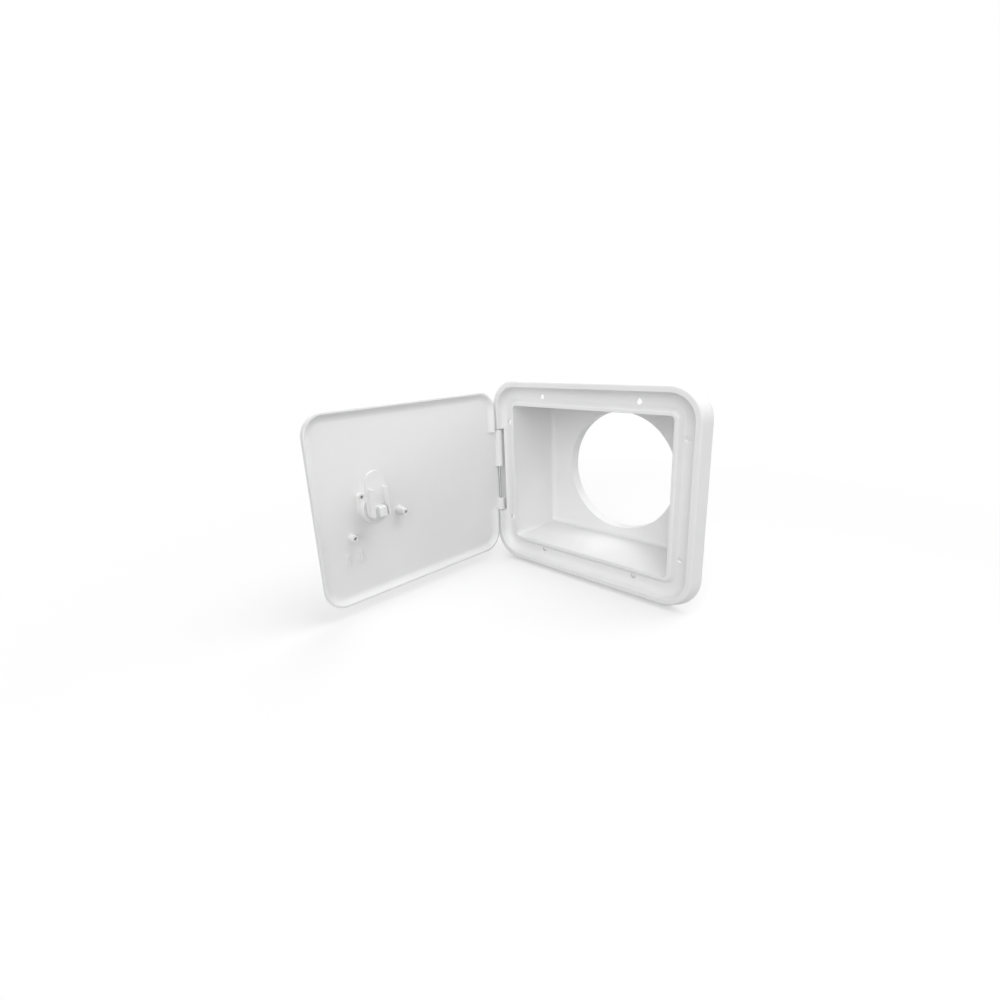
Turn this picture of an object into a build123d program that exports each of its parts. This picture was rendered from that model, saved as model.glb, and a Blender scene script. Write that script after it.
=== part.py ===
from build123d import *
from math import atan, cos, degrees, radians, sin, tan
import os

os.makedirs("parts", exist_ok=True)

# Frame of reference: origin on the back face of the flange at the centre of the opening,
# +X to the right seen from outside, +Y into the caravan wall, +Z up. Sizes in millimetres.

# Opening and flange
opening_w = 190.0
opening_h = 153.0
opening_r = 4.0
flange_reach = 30.8      # opening edge to the outer edge at the wall
rim_outer_reach = 26.5   # opening edge to the outer edge of the rim front
rim_inner_reach = 20.3   # opening edge to the inner face of the rim
rim_draft = 6.0          # slope of the inner face of the rim, degrees
lip_reach = 3.6          # opening edge to the outer edge of the lip front
lip_slope = 32.0         # slope of the outer face of the lip, degrees
rim_front = 12.5         # rim front ahead of the wall
lip_front = 8.0          # lip front ahead of the wall
floor_t = 2.2            # gutter floor, the plate that the screws clamp
gutter_rim_r = 0.68 * (rim_front - floor_t)
gutter_lip_r = 4.0
rim_edge_r = 2.2
rim_inner_edge_r = 1.0
lip_edge_r = 1.6
lip_return = 2.0         # thickness of the lip over the front edge of the box
rim_hollow_gap = 2.6     # wall left round the hollow behind the rim
rim_hollow_edge = 0.6    # extra wall at the outer edge of the hollow
rim_hollow_depth = 9.0

# Screw holes in the gutter floor
screw_hole_r = 2.7
screw_top_x = 57.4
screw_top_reach = 10.6
screw_side_z = 57.0

# Hose box behind the frame
box_wall = 2.5
box_back = 63.0          # wall plane to the front of the back wall
box_corner_r = 6.0
bond_gap = 0.1
hose_hole_d = 133.4
collar_len = 13.0        # front of the back wall to the end of the collar
collar_t = 2.5
keeper_reach = 4.0
keeper_h = 24.0
keeper_t = 3.0
keeper_gap = 1.5         # keeper to the locked tongue

# Hinge
hinge_reach = 23.8       # opening edge to the pin axis
hinge_front = 8.7        # pin axis ahead of the wall
pin_r = 1.3
pin_fit = 0.06
pin_socket = 7.0
pin_chamfer = 0.3
notch_half = 49.0
notch_gap = 1.0
notch_floor_t = 0.8      # plate left under the knuckles
notch_edge = 2.0         # gutter edge of the notch inward of the rim
knuckle_r = 4.2
leaf_past = 2.0          # hinge leaf past the pin axis
upper_knuckle_bottom = 5.5
lower_knuckle_top = -34.0
open_angle = 92.0        # opening angle of the door as shown

# Door
door_face = 3.5          # outer face ahead of the pin axis
door_gap_side = 3.3
door_gap_top = 3.6
door_drop = 0.8          # outline below the centre of the opening
door_t = 6.0
panel_t = 2.0
skirt_t = 1.8            # width of the skirt's edge
pan_slope = 50.0         # slope of the inner side of the skirt, degrees
pan_r = 8.0
door_edge_r = 2.2
skirt_cut_half = 46.0    # half height of the gap in the skirt at the hinge
rib_w = 2.2
rib_len = 11.5
rib_h = 2.0
rib_drop = 48.2          # latch axis down to the middle of the ribs
rib_sets = (13.2, 27.2)  # latch axis out to each rib

# Screw posts inside the door
post_tip_r = 3.3
post_taper = 5.0
post_hole_r = 1.6
post_floor = 2.5         # solid foot under the screw hole
post_sets = ((-34.3, -12.3, 13.0), (20.1, -26.5, 7.0))  # from the latch axis, and the length

# Latch
latch_inset = 38.2       # opening edge to the latch axis
latch_drop = 1.2         # latch axis below the centre of the opening
housing_r = 11.8
housing_len = 15.8
housing_rim_r = 14.0
housing_rim_t = 2.0
housing_edge_r = 0.8
ear_offset = (8.0, 11.6)
ear_h = 6.0
ear_r = 3.6
ear_hole_r = 1.6
shaft_r = 6.0
shaft_fit = 0.08
tongue_w = 21.0
tongue_reach = 37.8
tongue_t = 3.0
tongue_gap = 1.4
tongue_rib_x = 7.6
tongue_rib_w = 1.8
tongue_rib_h = 7.0
tongue_rib_bottom = -5.0
tongue_rib_top = 21.7
boss_side = 10.2
boss_r = 1.5
boss_h = 5.0
snap_w = 7.4
snap_h = 8.4
snap_fit = 0.05
snap_out = 4.0           # end of the snap post past the boss
snap_barb = 0.7
barb_gap = 0.2
bezel_r = 15.0
bezel_t = 1.4
turn_r = 12.0
turn_gap = 0.4
turn_t = 2.2
grip_w = 5.5
grip_h = 4.0
grip_inset = 1.5         # end of the grip inside the edge of the disc
grip_draft = 4.0
barb_slope = 14.0

# Working values: reach of a cut past the edge, and tolerance for finding a face
cut_over = 1.0
face_tol = 0.01

# Places that follow from the sizes above
hinge_x = -opening_w / 2 - hinge_reach
latch_x = opening_w / 2 - latch_inset
latch_u = latch_x - hinge_x
latch_z = -latch_drop
door_mid = -hinge_x
door_w = opening_w + 2 * (rim_inner_reach - door_gap_side)
door_h = opening_h + 2 * (rim_inner_reach - door_gap_top)
door_r = opening_r + rim_inner_reach - door_gap_side
door_near = door_mid - door_w / 2
skirt_edge = door_face - door_t
panel_in = door_face - panel_t
knuckle_half = notch_half - notch_gap


def outline(reach):
    """Rounded rectangle set out from the opening edge."""
    RectangleRounded(opening_w + 2 * reach, opening_h + 2 * reach, opening_r + reach)


def at_depth(block, depth):
    """Faces whose centre lies at this height on the door plane's normal."""
    return [f for f in block.faces() if abs(door_plane.to_local_coords(f.center()).Z - depth) < face_tol]


# The hollow that runs behind the rim, left out beside the pin sockets
hollow_outer = flange_reach - rim_hollow_gap - rim_hollow_edge
hollow_slope = degrees(atan((flange_reach - rim_outer_reach) / rim_front))
socket_end = notch_half + pin_socket + notch_gap
with BuildPart() as rim_hollow:
    with BuildSketch(Plane.XZ):
        outline(hollow_outer)
    extrude(amount=rim_hollow_depth, taper=hollow_slope)
    with BuildSketch(Plane.XZ):
        outline(rim_inner_reach + rim_hollow_gap)
    extrude(amount=rim_hollow_depth, mode=Mode.SUBTRACT)
    with BuildSketch(Plane.XZ):
        with Locations((hinge_x, 0)):
            Rectangle(2 * rim_inner_reach, 2 * (socket_end + rim_hollow_gap))
    extrude(amount=rim_hollow_depth, mode=Mode.SUBTRACT)

# Frame: flange with a rounded rim, a gutter for the door and a lip round the opening
with BuildPart() as frame:
    with BuildSketch(Plane.XZ):
        outline(flange_reach)
    extrude(amount=rim_front, taper=hollow_slope)
    with BuildSketch(Plane.XZ.offset(floor_t)):
        outline(rim_inner_reach - (rim_front - floor_t) * tan(radians(rim_draft)))
    extrude(amount=rim_front - floor_t, taper=-rim_draft, mode=Mode.SUBTRACT)
    with BuildSketch(Plane.XZ.offset(floor_t)):
        outline(lip_reach + (lip_front - floor_t) * tan(radians(lip_slope)))
    extrude(amount=lip_front - floor_t, taper=lip_slope)
    with BuildSketch(Plane.XZ):
        outline(0)
    extrude(amount=lip_front, mode=Mode.SUBTRACT)
    rim_face = frame.faces().filter_by_position(Axis.Y, -rim_front - face_tol, -rim_front + face_tol)[0]
    fillet(rim_face.outer_wire().edges(), rim_edge_r)
    rim_face = frame.faces().filter_by_position(Axis.Y, -rim_front - face_tol, -rim_front + face_tol)[0]
    fillet(rim_face.inner_wires()[0].edges(), rim_inner_edge_r)
    floor_face = frame.faces().filter_by_position(Axis.Y, -floor_t - face_tol, -floor_t + face_tol)[0]
    fillet(floor_face.outer_wire().edges(), gutter_rim_r)
    floor_face = frame.faces().filter_by_position(Axis.Y, -floor_t - face_tol, -floor_t + face_tol)[0]
    fillet(floor_face.inner_wires()[0].edges(), gutter_lip_r)
    lip_face = frame.faces().filter_by_position(Axis.Y, -lip_front - face_tol, -lip_front + face_tol)[0]
    fillet(lip_face.outer_wire().edges(), lip_edge_r)
    # Seat for the front edge of the box, behind the lip
    with BuildSketch(Plane.XZ):
        outline(box_wall + bond_gap)
    extrude(amount=lip_front - lip_return, mode=Mode.SUBTRACT)
    add(rim_hollow.part, mode=Mode.SUBTRACT)
    # Notch for the hinge knuckles and the pin sockets at its two ends
    notch_in = rim_inner_reach - notch_edge
    with BuildSketch(Plane.XZ.offset(notch_floor_t)):
        with Locations((-opening_w / 2 - notch_in, 0)):
            Rectangle(flange_reach - notch_in + cut_over, 2 * notch_half, align=(Align.MAX, Align.CENTER))
    extrude(amount=rim_front, mode=Mode.SUBTRACT)
    with BuildSketch(Plane.XY.offset(-notch_half - pin_socket)):
        with Locations((hinge_x, -hinge_front)):
            Circle(pin_r + pin_fit)
    extrude(amount=2 * (notch_half + pin_socket), mode=Mode.SUBTRACT)
    # Screw holes: two in each side of the gutter
    screw_top_z = opening_h / 2 + screw_top_reach
    screw_side_x = opening_w / 2 + screw_top_reach
    with BuildSketch(Plane.XZ):
        with GridLocations(2 * screw_top_x, 2 * screw_top_z, 2, 2):
            Circle(screw_hole_r)
        with GridLocations(2 * screw_side_x, 2 * screw_side_z, 2, 2):
            Circle(screw_hole_r)
    extrude(amount=lip_front, mode=Mode.SUBTRACT)
frame.part.label = "frame"
export_step(frame.part, "parts/frame.step")

# The closed door carries the tongue to this depth behind the wall plane
tongue_front = housing_len + tongue_gap - (door_face - panel_t) - hinge_front
keeper_back = tongue_front - keeper_gap

# Hose box: open tub with a round hole and a collar in its back wall
box_front = lip_front - lip_return
with BuildPart() as hose_box:
    with BuildSketch(Plane.XZ.offset(-box_back - box_wall)):
        outline(box_wall)
    extrude(amount=box_back + box_wall + box_front)
    fillet(hose_box.faces().sort_by(Axis.Y)[-1].edges(), box_corner_r)
    with BuildSketch(Plane.XZ.offset(-box_back)):
        outline(0)
    extrude(amount=box_back + box_front, mode=Mode.SUBTRACT)
    back_face = hose_box.faces().filter_by_position(Axis.Y, box_back - face_tol, box_back + face_tol)[0]
    fillet(back_face.edges(), box_corner_r - box_wall / 2)
    with BuildSketch(Plane.XZ.offset(-box_back - collar_len)):
        Circle(hose_hole_d / 2 + collar_t)
    extrude(amount=collar_len)
    with BuildSketch(Plane.XZ.offset(-box_back - collar_len)):
        Circle(hose_hole_d / 2)
    extrude(amount=collar_len + box_wall, mode=Mode.SUBTRACT)
    # Keeper on the wall at the free edge, which the tongue turns behind
    with BuildSketch(Plane.XZ.offset(-keeper_back)):
        with Locations((opening_w / 2 - keeper_reach, latch_z)):
            Rectangle(keeper_reach + box_wall / 2, keeper_h, align=(Align.MIN, Align.CENTER))
    extrude(amount=keeper_t)
hose_box.part.label = "hose_box"
export_step(hose_box.part, "parts/hose_box.step")

# Hinge pin
with BuildPart() as hinge_pin:
    with BuildSketch(Plane.XY.offset(-notch_half - pin_socket + notch_gap)):
        with Locations((hinge_x, -hinge_front)):
            Circle(pin_r)
    extrude(amount=2 * (notch_half + pin_socket - notch_gap))
    chamfer(hinge_pin.edges(), pin_chamfer)
hinge_pin.part.label = "hinge_pin"
export_step(hinge_pin.part, "parts/hinge_pin.step")

# Door plane: local x runs from the pin to the free edge, local y up, local z out of the door
swing = radians(open_angle)
door_plane = Plane(
    origin=(hinge_x, -hinge_front, 0),
    x_dir=(cos(swing), -sin(swing), 0),
    z_dir=(-sin(swing), -cos(swing), 0),
)
hinge_plane = Plane(
    origin=(hinge_x, -hinge_front, 0),
    x_dir=(cos(swing), -sin(swing), 0),
    z_dir=(0, 0, 1),
)

# Door: a dished panel with a skirt, cut away beside the hinge leaf
with BuildPart() as door:
    with BuildSketch(door_plane.offset(skirt_edge)):
        with Locations((door_mid, -door_drop)):
            RectangleRounded(door_w, door_h, door_r)
    extrude(amount=door_t)
    fillet(door.faces().sort_by(Axis(door_plane.origin, door_plane.z_dir))[-1].edges(), door_edge_r)
    with BuildSketch(door_plane.offset(skirt_edge)):
        with Locations((door_mid, -door_drop)):
            RectangleRounded(door_w - 2 * skirt_t, door_h - 2 * skirt_t, door_r - skirt_t)
    extrude(amount=door_t - panel_t, taper=pan_slope, mode=Mode.SUBTRACT)
    pan_face = at_depth(door, panel_in)[0]
    fillet(pan_face.edges(), pan_r)
    # Gap in the skirt at the hinge
    pan_edge = skirt_t + (door_t - panel_t) * tan(radians(pan_slope)) + pan_r / 2
    with BuildSketch(door_plane.offset(panel_in - door_t)):
        Rectangle(door_near + pan_edge, 2 * skirt_cut_half, align=(Align.MIN, Align.CENTER))
    extrude(amount=door_t, mode=Mode.SUBTRACT)
    # Hinge leaf and two knuckles, with the pin bare between them
    leaf_len = leaf_past + door_near + door_edge_r + skirt_t
    with BuildSketch(door_plane.offset(panel_in)):
        with Locations((-leaf_past, 0)):
            Rectangle(leaf_len, 2 * knuckle_half, align=(Align.MIN, Align.CENTER))
    extrude(amount=panel_t)
    with BuildSketch(hinge_plane.offset(upper_knuckle_bottom)):
        Circle(knuckle_r)
    extrude(amount=knuckle_half - upper_knuckle_bottom)
    with BuildSketch(hinge_plane.offset(-knuckle_half)):
        Circle(knuckle_r)
    extrude(amount=knuckle_half + lower_knuckle_top)
    with BuildSketch(hinge_plane.offset(-knuckle_half)):
        Circle(pin_r + pin_fit)
    extrude(amount=2 * knuckle_half, mode=Mode.SUBTRACT)
    # Screw posts
    for post_out, post_up, post_len in post_sets:
        with BuildSketch(door_plane.offset(panel_in - post_len)):
            with Locations((latch_u + post_out, latch_z + post_up)):
                Circle(post_tip_r)
        extrude(amount=post_len, taper=-post_taper)
        with BuildSketch(door_plane.offset(panel_in - post_len)):
            with Locations((latch_u + post_out, latch_z + post_up)):
                Circle(post_hole_r)
        extrude(amount=post_len - post_floor, mode=Mode.SUBTRACT)
    # Two low ribs
    with BuildSketch(door_plane.offset(panel_in - rib_h)):
        for rib_out in rib_sets:
            with Locations((latch_u + rib_out, latch_z - rib_drop)):
                SlotOverall(rib_len, rib_w, rotation=90)
    extrude(amount=rib_h)
    # Shaft hole of the latch
    with BuildSketch(door_plane.offset(skirt_edge)):
        with Locations((latch_u, latch_z)):
            Circle(shaft_r + shaft_fit)
    extrude(amount=door_t, mode=Mode.SUBTRACT)
door.part.label = "door"
export_step(door.part, "parts/door.step")

# Latch housing: round body with a rim and a low screw ear, on the inner face of the door
housing_end = panel_in - housing_len
with BuildPart() as latch_housing:
    with BuildSketch(door_plane.offset(housing_end)):
        with Locations((latch_u, latch_z)):
            Circle(housing_r)
    extrude(amount=housing_len)
    with BuildSketch(door_plane.offset(housing_end)):
        with Locations((latch_u, latch_z)):
            Circle(housing_rim_r)
    extrude(amount=housing_rim_t)
    fillet(at_depth(latch_housing, housing_end)[0].edges(), housing_edge_r)
    with BuildSketch(door_plane.offset(panel_in - ear_h)):
        with Locations((latch_u + ear_offset[0], latch_z + ear_offset[1])):
            Circle(ear_r)
        with Locations((latch_u, latch_z)):
            Circle(housing_r)
        make_hull()
    extrude(amount=ear_h)
    with BuildSketch(door_plane.offset(housing_end)):
        with Locations((latch_u, latch_z)):
            Circle(shaft_r + shaft_fit)
        with Locations((latch_u + ear_offset[0], latch_z + ear_offset[1])):
            Circle(ear_hole_r)
    extrude(amount=housing_len, mode=Mode.SUBTRACT)
latch_housing.part.label = "latch_housing"
export_step(latch_housing.part, "parts/latch_housing.step")

# Bezel ring on the outer face
with BuildPart() as latch_bezel:
    with BuildSketch(door_plane.offset(door_face)):
        with Locations((latch_u, latch_z)):
            Circle(bezel_r)
            Circle(turn_r + turn_gap, mode=Mode.SUBTRACT)
    extrude(amount=bezel_t)
latch_bezel.part.label = "latch_bezel"
export_step(latch_bezel.part, "parts/latch_bezel.step")

# Thumb turn: disc and grip outside, shaft through the door, square end inside
tongue_near = housing_end - tongue_gap
tongue_far = tongue_near - tongue_t
boss_end = tongue_far - boss_h
with BuildPart() as thumb_turn:
    with BuildSketch(door_plane.offset(door_face + turn_gap)):
        with Locations((latch_u, latch_z)):
            Circle(turn_r)
    extrude(amount=turn_t)
    with BuildSketch(door_plane.offset(door_face + turn_gap + turn_t)):
        with Locations((latch_u, latch_z)):
            SlotOverall(2 * (turn_r - grip_inset), grip_w, rotation=90)
    extrude(amount=grip_h, taper=grip_draft)
    with BuildSketch(door_plane.offset(tongue_near)):
        with Locations((latch_u, latch_z)):
            Circle(shaft_r)
    extrude(amount=door_face + turn_gap - tongue_near)
    with BuildSketch(door_plane.offset(boss_end - snap_out)):
        with Locations((latch_u, latch_z)):
            Rectangle(snap_w, snap_h)
    extrude(amount=tongue_near - boss_end + snap_out)
    # Barbs of the snap post, over the boss of the tongue
    with BuildSketch(door_plane.offset(boss_end - barb_gap)):
        with Locations((latch_u, latch_z)):
            Rectangle(snap_w, snap_h + 2 * snap_barb)
    extrude(amount=-snap_out / 2, taper=barb_slope)
thumb_turn.part.label = "thumb_turn"
export_step(thumb_turn.part, "parts/thumb_turn.step")

# Tongue: flat blade with a round end, a boss round the snap post and two stiffening ribs
with BuildPart() as latch_tongue:
    with BuildSketch(door_plane.offset(tongue_far)):
        with Locations((latch_u, latch_z + (tongue_reach - tongue_w / 2) / 2)):
            SlotOverall(tongue_reach + tongue_w / 2, tongue_w, rotation=90)
    extrude(amount=tongue_t)
    with BuildSketch(door_plane.offset(boss_end)):
        with Locations((latch_u, latch_z)):
            RectangleRounded(boss_side, boss_side, boss_r)
    extrude(amount=boss_h)
    with BuildSketch(door_plane.offset(boss_end)):
        with Locations((latch_u, latch_z)):
            Rectangle(snap_w + 2 * snap_fit, snap_h + 2 * snap_fit)
    extrude(amount=boss_h + tongue_t, mode=Mode.SUBTRACT)
    with BuildSketch(door_plane.offset(tongue_far - tongue_rib_h)):
        with Locations((latch_u, latch_z + (tongue_rib_top + tongue_rib_bottom) / 2)):
            with GridLocations(2 * tongue_rib_x, 1, 2, 1):
                Rectangle(tongue_rib_w, tongue_rib_top - tongue_rib_bottom)
    extrude(amount=tongue_rib_h)
latch_tongue.part.label = "latch_tongue"
export_step(latch_tongue.part, "parts/latch_tongue.step")
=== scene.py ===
"""Looks of the sewer hose storage hatch: white satin plastic on a plain white floor."""

import math

import bpy
from mathutils import Matrix, Vector


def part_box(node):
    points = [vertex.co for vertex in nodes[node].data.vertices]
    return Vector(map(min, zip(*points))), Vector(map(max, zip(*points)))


MM = 0.001
WHITE = (1.0, 1.0, 1.0, 1.0)
PLASTIC_NODES = (
    "frame",
    "hose_box",
    "door",
    "latch_housing",
    "latch_bezel",
    "thumb_turn",
    "latch_tongue",
)
STEEL_NODES = ("hinge_pin",)

# Camera, from the picture's perspective
CAMERA_PLACE = (0.2992, -0.4342, 0.1425)
CAMERA_RIGHT = (0.7202, 0.6926, -0.0414)
CAMERA_DOWN = (0.1715, -0.2355, -0.9566)
CAMERA_LENS = 18.637
CAMERA_SENSOR = 36.0
CAMERA_CLIP = (0.01, 100.0)

# Floor, as the camera sees it and as it throws light back
FLOOR_SIZE = 60.0
FLOOR_SEEN = (0.97, 0.97, 0.97, 1.0)
FLOOR_BOUNCE = (0.42, 0.42, 0.42, 1.0)
FLOOR_GLOW = (0.42, 1.0)  # share of plain white in the seen floor, near and far
FLOOR_FADE = (0.28, 0.65)  # distances from the middle over which the share rises
FLOOR_ROUGHNESS = 0.9

# Light
SKY_STRENGTH = 0.28
# Wide soft lamps: name, direction it shines from, strength, width in degrees
LAMPS = (
    ("side", (1.0, 0.8, 0.7), 0.54, 60.0),
    ("backdrop", (0.0, 1.0, 0.95), 1.60, 70.0),
    ("front", (0.0, -1.0, 0.35), 0.80, 60.0),
    ("fill", (1.0, -1.0, 0.45), 1.08, 60.0),
)
# Softbox high in front of the opening, aimed at the inside of the door
BOX_PLACE = (0.10, -0.10, 0.50)
BOX_AIM = (-0.10, -0.10, 0.0)
BOX_SIZE = 0.36
BOX_POWER = 1.04

# Plastic: slow tone changes, fine grain, softened edges
PLASTIC_COLOUR = (0.848, 0.850, 0.848, 1.0)
PLASTIC_SHADE = (0.828, 0.830, 0.828, 1.0)
PLASTIC_GLOSS = (0.38, 0.50)
PLASTIC_IOR = 1.48
CLOUD_NOISE = {"Scale": 14.0, "Detail": 3.0, "Roughness": 0.5}
GRAIN_NOISE = {"Scale": 1500.0, "Detail": 2.0, "Roughness": 0.6}
GRAIN_STRENGTH = 0.10
GRAIN_DEPTH = 0.05 * MM
EDGE_ROUNDING = 0.45 * MM
EDGE_SAMPLES = 6

# Steel of the pin: streaks along its length
STEEL_COLOUR = (0.56, 0.57, 0.58, 1.0)
STEEL_SHADE = (0.46, 0.47, 0.48, 1.0)
STEEL_GLOSS = (0.28, 0.42)
STREAK_NOISE = {"Scale": 2600.0, "Detail": 3.0, "Roughness": 0.6}
STREAK_STRETCH = (1.0, 1.0, 0.04)

# Spans of a noise value that carry a tone and a gloss
TONE_SPAN = (0.35, 0.65)
GLOSS_SPAN = (0.3, 0.7)


def add_node(tree, kind, inputs=None, **settings):
    """A shader node with its settings and its unlinked input values."""
    node = tree.nodes.new(kind)
    for name, value in settings.items():
        setattr(node, name, value)
    for name, value in (inputs or {}).items():
        node.inputs[name].default_value = value
    return node


def new_material(name):
    """An empty node material and its principled shader."""
    material = bpy.data.materials.new(name)
    material.use_nodes = True
    tree = material.node_tree
    tree.nodes.clear()
    output = tree.nodes.new("ShaderNodeOutputMaterial")
    shader = tree.nodes.new("ShaderNodeBsdfPrincipled")
    tree.links.new(shader.outputs["BSDF"], output.inputs["Surface"])
    return material, tree, shader


def mix_colours(tree, factor, low, high):
    """Colour between two fixed ones, led by a factor socket."""
    mix = add_node(tree, "ShaderNodeMix", data_type="RGBA")
    for socket in mix.inputs:
        if socket.name == "A" and socket.type == "RGBA":
            socket.default_value = low
        if socket.name == "B" and socket.type == "RGBA":
            socket.default_value = high
    tree.links.new(factor, mix.inputs["Factor"])
    return next(s for s in mix.outputs if s.type == "RGBA")


def map_range(tree, source, low, high, to_low, to_high):
    """A number carried from one range to another."""
    node = add_node(
        tree,
        "ShaderNodeMapRange",
        {"From Min": low, "From Max": high, "To Min": to_low, "To Max": to_high},
    )
    tree.links.new(source, node.inputs["Value"])
    return node.outputs["Result"]


def seen_rays(tree):
    """1 for rays that show the background: from the camera, off gloss and through clear things."""
    path = add_node(tree, "ShaderNodeLightPath")
    share = path.outputs["Is Camera Ray"]
    for kind in ("Is Glossy Ray", "Is Transmission Ray"):
        either = add_node(tree, "ShaderNodeMath", operation="MAXIMUM")
        tree.links.new(share, either.inputs[0])
        tree.links.new(path.outputs[kind], either.inputs[1])
        share = either.outputs["Value"]
    return share


def moulded_plastic(name):
    """White satin plastic: slow tone changes, a fine moulded grain and softened edges."""
    material, tree, shader = new_material(name)
    place = add_node(tree, "ShaderNodeTexCoord")
    cloud = add_node(tree, "ShaderNodeTexNoise", CLOUD_NOISE)
    fine = add_node(tree, "ShaderNodeTexNoise", GRAIN_NOISE)
    for noise in (cloud, fine):
        tree.links.new(place.outputs["Object"], noise.inputs["Vector"])
    tone = map_range(tree, cloud.outputs["Fac"], *TONE_SPAN, 0.0, 1.0)
    tree.links.new(mix_colours(tree, tone, PLASTIC_SHADE, PLASTIC_COLOUR), shader.inputs["Base Color"])
    gloss = map_range(tree, fine.outputs["Fac"], *GLOSS_SPAN, *PLASTIC_GLOSS)
    tree.links.new(gloss, shader.inputs["Roughness"])
    soft_edge = add_node(tree, "ShaderNodeBevel", {"Radius": EDGE_ROUNDING}, samples=EDGE_SAMPLES)
    bump = add_node(tree, "ShaderNodeBump", {"Strength": GRAIN_STRENGTH, "Distance": GRAIN_DEPTH})
    tree.links.new(fine.outputs["Fac"], bump.inputs["Height"])
    tree.links.new(soft_edge.outputs["Normal"], bump.inputs["Normal"])
    tree.links.new(bump.outputs["Normal"], shader.inputs["Normal"])
    shader.inputs["IOR"].default_value = PLASTIC_IOR
    return material


def drawn_steel(name):
    """Plain drawn wire: streaks along the pin."""
    material, tree, shader = new_material(name)
    place = add_node(tree, "ShaderNodeTexCoord")
    stretch = add_node(tree, "ShaderNodeMapping", {"Scale": STREAK_STRETCH})
    streak = add_node(tree, "ShaderNodeTexNoise", STREAK_NOISE)
    tree.links.new(place.outputs["Object"], stretch.inputs["Vector"])
    tree.links.new(stretch.outputs["Vector"], streak.inputs["Vector"])
    tone = map_range(tree, streak.outputs["Fac"], *TONE_SPAN, 0.0, 1.0)
    tree.links.new(mix_colours(tree, tone, STEEL_SHADE, STEEL_COLOUR), shader.inputs["Base Color"])
    gloss = map_range(tree, streak.outputs["Fac"], *GLOSS_SPAN, *STEEL_GLOSS)
    tree.links.new(gloss, shader.inputs["Roughness"])
    shader.inputs["Metallic"].default_value = 1.0
    return material


def floor_material(name):
    """Plain white floor that throws less light back than it shows."""
    material, tree, shader = new_material(name)
    seen = seen_rays(tree)
    tree.links.new(mix_colours(tree, seen, FLOOR_BOUNCE, FLOOR_SEEN), shader.inputs["Base Color"])
    glow = add_node(tree, "ShaderNodeEmission", {"Color": WHITE, "Strength": 1.0})
    place = add_node(tree, "ShaderNodeTexCoord")
    away = add_node(tree, "ShaderNodeVectorMath", operation="LENGTH")
    tree.links.new(place.outputs["Object"], away.inputs[0])
    fade = map_range(tree, away.outputs["Value"], *FLOOR_FADE, *FLOOR_GLOW)
    seen_only = add_node(tree, "ShaderNodeMath", operation="MULTIPLY")
    tree.links.new(fade, seen_only.inputs[0])
    tree.links.new(seen, seen_only.inputs[1])
    share = seen_only.outputs["Value"]
    both = add_node(tree, "ShaderNodeMixShader")
    tree.links.new(share, both.inputs["Fac"])
    tree.links.new(shader.outputs["BSDF"], both.inputs[1])
    tree.links.new(glow.outputs["Emission"], both.inputs[2])
    output = next(n for n in tree.nodes if n.type == "OUTPUT_MATERIAL")
    tree.links.new(both.outputs["Shader"], output.inputs["Surface"])
    shader.inputs["Roughness"].default_value = FLOOR_ROUGHNESS
    shader.inputs["Specular IOR Level"].default_value = 0.0
    return material


def dress(node, material):
    """One material on a CAD node."""
    node.data.materials.clear()
    node.data.materials.append(material)


def make_floor(level):
    """Floor under the lowest edge of the flange."""
    bpy.ops.mesh.primitive_plane_add(size=FLOOR_SIZE, location=(0, 0, level))
    floor = bpy.context.object
    floor.name = "floor"
    floor.data.materials.append(floor_material("white_floor"))


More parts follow.
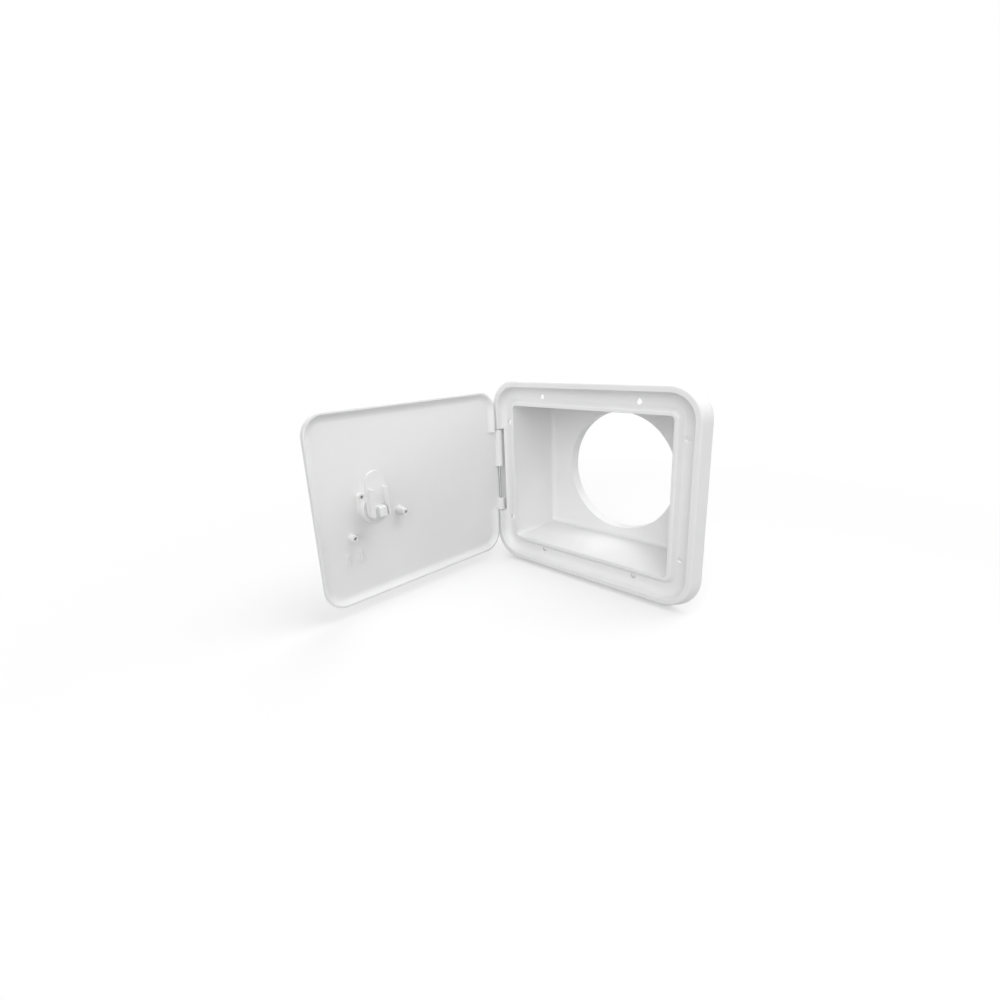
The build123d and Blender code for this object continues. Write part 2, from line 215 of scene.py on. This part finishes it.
def make_light():
    """Soft light from all round, four wide lamps, a softbox, and white behind the object."""
    world = bpy.data.worlds.new("studio")
    bpy.context.scene.world = world
    world.use_nodes = True
    tree = world.node_tree
    tree.nodes.clear()
    light = add_node(tree, "ShaderNodeBackground", {"Color": WHITE, "Strength": SKY_STRENGTH})
    plain = add_node(tree, "ShaderNodeBackground", {"Color": WHITE, "Strength": 1.0})
    choose = add_node(tree, "ShaderNodeMixShader")
    tree.links.new(seen_rays(tree), choose.inputs["Fac"])
    tree.links.new(light.outputs["Background"], choose.inputs[1])
    tree.links.new(plain.outputs["Background"], choose.inputs[2])
    output = add_node(tree, "ShaderNodeOutputWorld")
    tree.links.new(choose.outputs["Shader"], output.inputs["Surface"])

    for name, source, strength, width in LAMPS:
        lamp = bpy.data.lights.new(name, "SUN")
        lamp.energy = strength
        lamp.angle = math.radians(width)
        sun = bpy.data.objects.new(name, lamp)
        sun.rotation_mode = "QUATERNION"
        sun.rotation_quaternion = Vector(source).to_track_quat("Z", "Y")
        bpy.context.scene.collection.objects.link(sun)

    lamp = bpy.data.lights.new("softbox", "AREA")
    lamp.energy = BOX_POWER
    lamp.size = BOX_SIZE
    box = bpy.data.objects.new("softbox", lamp)
    box.location = BOX_PLACE
    box.rotation_mode = "QUATERNION"
    box.rotation_quaternion = (Vector(BOX_PLACE) - Vector(BOX_AIM)).to_track_quat("Z", "Y")
    bpy.context.scene.collection.objects.link(box)


def make_camera():
    """Camera at the picture's place and angle."""
    right = Vector(CAMERA_RIGHT).normalized()
    back = right.cross(-Vector(CAMERA_DOWN)).normalized()
    up = back.cross(right)
    data = bpy.data.cameras.new("camera")
    data.lens = CAMERA_LENS
    data.sensor_width = CAMERA_SENSOR
    data.clip_start, data.clip_end = CAMERA_CLIP
    camera = bpy.data.objects.new("camera", data)
    turn = Matrix((right, up, back)).transposed()
    camera.matrix_world = Matrix.Translation(CAMERA_PLACE) @ turn.to_4x4()
    bpy.context.scene.collection.objects.link(camera)
    bpy.context.scene.camera = camera


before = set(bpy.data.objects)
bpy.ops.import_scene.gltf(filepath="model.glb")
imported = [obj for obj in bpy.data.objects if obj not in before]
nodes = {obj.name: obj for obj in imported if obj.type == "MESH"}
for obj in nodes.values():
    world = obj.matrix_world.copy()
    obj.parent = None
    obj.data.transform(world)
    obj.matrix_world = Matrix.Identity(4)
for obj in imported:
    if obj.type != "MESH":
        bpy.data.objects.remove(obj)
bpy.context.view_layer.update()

white_plastic = moulded_plastic("white_plastic")
pin_steel = drawn_steel("pin_steel")
for name in PLASTIC_NODES:
    dress(nodes[name], white_plastic)
for name in STEEL_NODES:
    dress(nodes[name], pin_steel)

make_floor(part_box("frame")[0].z)
make_light()
make_camera()
bpy.context.scene.view_settings.view_transform = "Standard"
